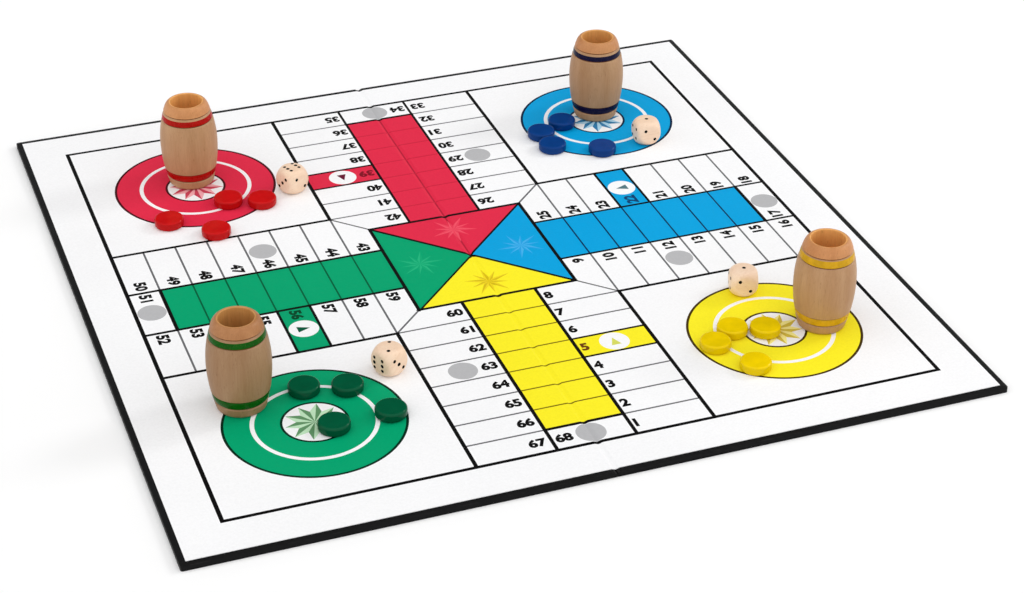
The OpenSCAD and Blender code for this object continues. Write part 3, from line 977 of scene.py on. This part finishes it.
# mm; the ball rounds the corners, and its softness and the cuts of the cube have no unit
dieSizes = {"side": 14.0, "ball": 17.5, "softness": 22.0, "cuts": 26, "pitch": 2.8, "pip": 2.0, "pipDepth": 0.4}
dieTurns = {   # degrees about Z after the face that lies up
    "green": ((90, 0, 0), 24.6), "yellow": ((0, -90, 0), 165), "blue": ((0, -90, 0), 178), "red": ((0, 90, 0), -154),
}
dieColours = {"pale": rgb(252, 228, 204), "warm": rgb(246, 212, 182), "dark": rgb(204, 154, 116),
              "pip": rgb(10, 8, 8), "scorched": rgb(40, 28, 22)}


def makeDieTree():
    # rounded cube with a ball cut out at each pip
    tree, given, out = newTree("drilledDie", {"Side": 0.014, "Ball": 0.0175, "Softness": 20.0, "Cuts": 26,
                                              "Pip Ball": 0.001, "Wood": None, "Paint": None})
    size = put(tree, "ShaderNodeCombineXYZ", {key: given["Side"] for key in "XYZ"})
    cuts = {"Vertices " + key: given["Cuts"] for key in "XYZ"}
    die = put(tree, "GeometryNodeMeshCube", {"Size": size, **cuts})
    position = put(tree, "GeometryNodeInputPosition")
    far = add(tree, "ShaderNodeVectorMath", {0: position}, operation="LENGTH").outputs["Value"]
    radius = calc(tree, "DIVIDE", given["Ball"], 2.0)
    ratio = calc(tree, "POWER", calc(tree, "DIVIDE", far, radius), given["Softness"])
    pull = calc(tree, "POWER", calc(tree, "ADD", ratio, 1.0), calc(tree, "DIVIDE", -1.0, given["Softness"]))
    place = put(tree, "ShaderNodeVectorMath", {0: position, "Scale": pull}, operation="SCALE")
    die = put(tree, "GeometryNodeSetPosition", {"Geometry": die, "Position": place})
    # the faces of the balls are marked, and the cut leaves the mark in the pips
    ball = put(tree, "GeometryNodeMeshUVSphere", {"Segments": 20, "Rings": 12, "Radius": given["Pip Ball"]})
    ball = put(tree, "GeometryNodeStoreNamedAttribute", {"Geometry": ball, "Name": "pip", "Value": 1.0},
               data_type="FLOAT", domain="FACE")
    balls = put(tree, "GeometryNodeInstanceOnPoints", {"Points": given["Geometry"], "Instance": ball})
    balls = put(tree, "GeometryNodeRealizeInstances", {0: balls})
    die = put(tree, "GeometryNodeMeshBoolean", {"Mesh 1": die, "Mesh 2": balls}, operation="DIFFERENCE", solver="EXACT")
    die = coated(tree, put(tree, "GeometryNodeRealizeInstances", {0: die}), given["Wood"])
    marked = add(tree, "GeometryNodeInputNamedAttribute", {"Name": "pip"}, data_type="FLOAT").outputs["Attribute"]
    die = coated(tree, die, given["Paint"], calc(tree, "GREATER_THAN", marked, 0.5))
    feed(tree, out, {"Geometry": die})
    return tree


def pipPlaces():
    d = dieSizes
    ball = ((d["pip"] / 2) ** 2 + d["pipDepth"] ** 2) / (2 * d["pipDepth"])
    far = d["side"] / 2 + ball - d["pipDepth"]
    corners = [(-1, -1), (-1, 1), (1, -1), (1, 1)]
    faces = [   # places on a face, and the turn that takes +Z to it: opposite faces add up to seven
        ([(0, 0)], Matrix.Rotation(math.pi / 2, 3, "Y")),
        ([(-1, -1), (1, 1)], Matrix.Rotation(-math.pi / 2, 3, "X")),
        ([(-1, 1), (0, 0), (1, -1)], Matrix.Identity(3)),
        (corners, Matrix.Rotation(math.pi, 3, "X")),
        (corners + [(0, 0)], Matrix.Rotation(math.pi / 2, 3, "X")),
        (corners + [(-1, 0), (1, 0)], Matrix.Rotation(-math.pi / 2, 3, "Y")),
    ]
    places = [turn @ Vector((x * d["pitch"], y * d["pitch"], far)) * mm for spots, turn in faces for x, y in spots]
    return places, ball


def makeDice():
    d, tree = dieSizes, makeDieTree()
    places, ball = pipPlaces()
    points = newMesh("pips", places)
    paint = makePaint("pipBlack", dieColours["pip"], dieColours["scorched"], 0.5)
    tones = [dieColours[tone] for tone in ("pale", "warm", "dark")]
    for k, name in enumerate(players):
        low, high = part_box(name + "_die")
        centre = (low + high) / 2
        faceUp, turn = dieTurns[name]
        bare = makeWood("dieWood_" + name, centre, (0.2 * k, 1.2 + 0.4 * k, 0.7 * k), *tones, gloss=0.36)
        mesh = runTree(tree, points, {
            "Side": d["side"] * mm, "Ball": d["ball"] * mm, "Softness": d["softness"], "Cuts": d["cuts"],
            "Pip Ball": ball * mm, "Wood": bare, "Paint": paint}, "die_" + name)
        turnUp = Matrix.Rotation(math.radians(faceUp[0]), 4, "X") @ Matrix.Rotation(math.radians(faceUp[1]), 4, "Y")
        mesh.transform(Matrix.Translation(centre) @ Matrix.Rotation(math.radians(turn), 4, "Z") @ turnUp)
        softEdges(mesh, 30)
        newPiece("die_" + name, mesh, name + "_die", [name + "_die"])


makeDice()
print("stage: dice")
